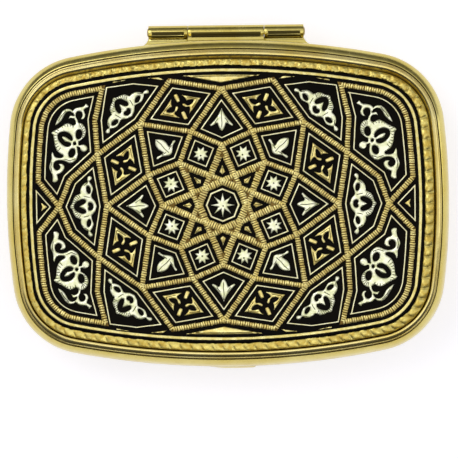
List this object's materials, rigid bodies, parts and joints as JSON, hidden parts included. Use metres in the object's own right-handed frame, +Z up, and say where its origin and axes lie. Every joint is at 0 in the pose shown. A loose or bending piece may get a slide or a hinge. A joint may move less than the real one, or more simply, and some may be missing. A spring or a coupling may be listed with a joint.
{
  "type": "pill box",
  "caption": "Small hinged metal pill box with a bowed rectangular case, gilt bezel and a black damascene plaque inlaid with a gold and silver star pattern.",
  "frame": {"origin": "middle of the flat bottom face of the case, on the surface it rests on", "axes": "+X to the right along the case's width, +Y to the back where the hinge is, +Z up out of the lid"},
  "size_m": [0.057, 0.0446, 0.0126],
  "materials": {
    "gilt_case": "polished",
    "gilt_rim": "polished",
    "milled_gilt": "satin",
    "gold_foil": "satin",
    "silver_foil": "satin",
    "black_steel": "oxidised black",
    "pin_steel": "bright",
    "spring_brass": "satin",
    "tray_plastic": "moulded",
    "mirror_glass": "mirror",
    "pad_foam": "matt"
  },
  "bodies": {
    "base": {"base_shell": "gilt_case", "base_collar": "gilt_rim", "snap_catch": "spring_brass", "pill_tray": "tray_plastic", "base_hinge_leaf": "gilt_case", "hinge_pin": "pin_steel"},
    "lid": {"lid_shell": "gilt_case", "lid_bezel": "gilt_rim", "thumb_lip": "gilt_case", "lid_hinge_leaf": "gilt_case", "mirror_glass": "mirror_glass", "mirror_frame": "gilt_rim", "plaque_backing": "pad_foam", "plaque_plate": "black_steel", "milled_border": "milled_gilt", "border_line": "gold_foil", "gold_lattice": "gold_foil", "frame_lines": "silver_foil", "centre_star": "silver_foil", "small_stars": "silver_foil", "tulips": "silver_foil", "gold_flowers": "gold_foil", "inner_darts": "gold_foil", "heart_arabesques": "silver_foil", "corner_arabesques": "silver_foil", "side_darts": "gold_foil", "edge_slivers": "gold_foil"}
  },
  "joints": [
    {"name": "lid_hinge", "type": "hinge", "parent": "base", "child": "lid", "pos_m": [0, 0.0222, 0.00785], "axis": [-1, 0, 0], "range_deg": [0, 110]}
  ]
}
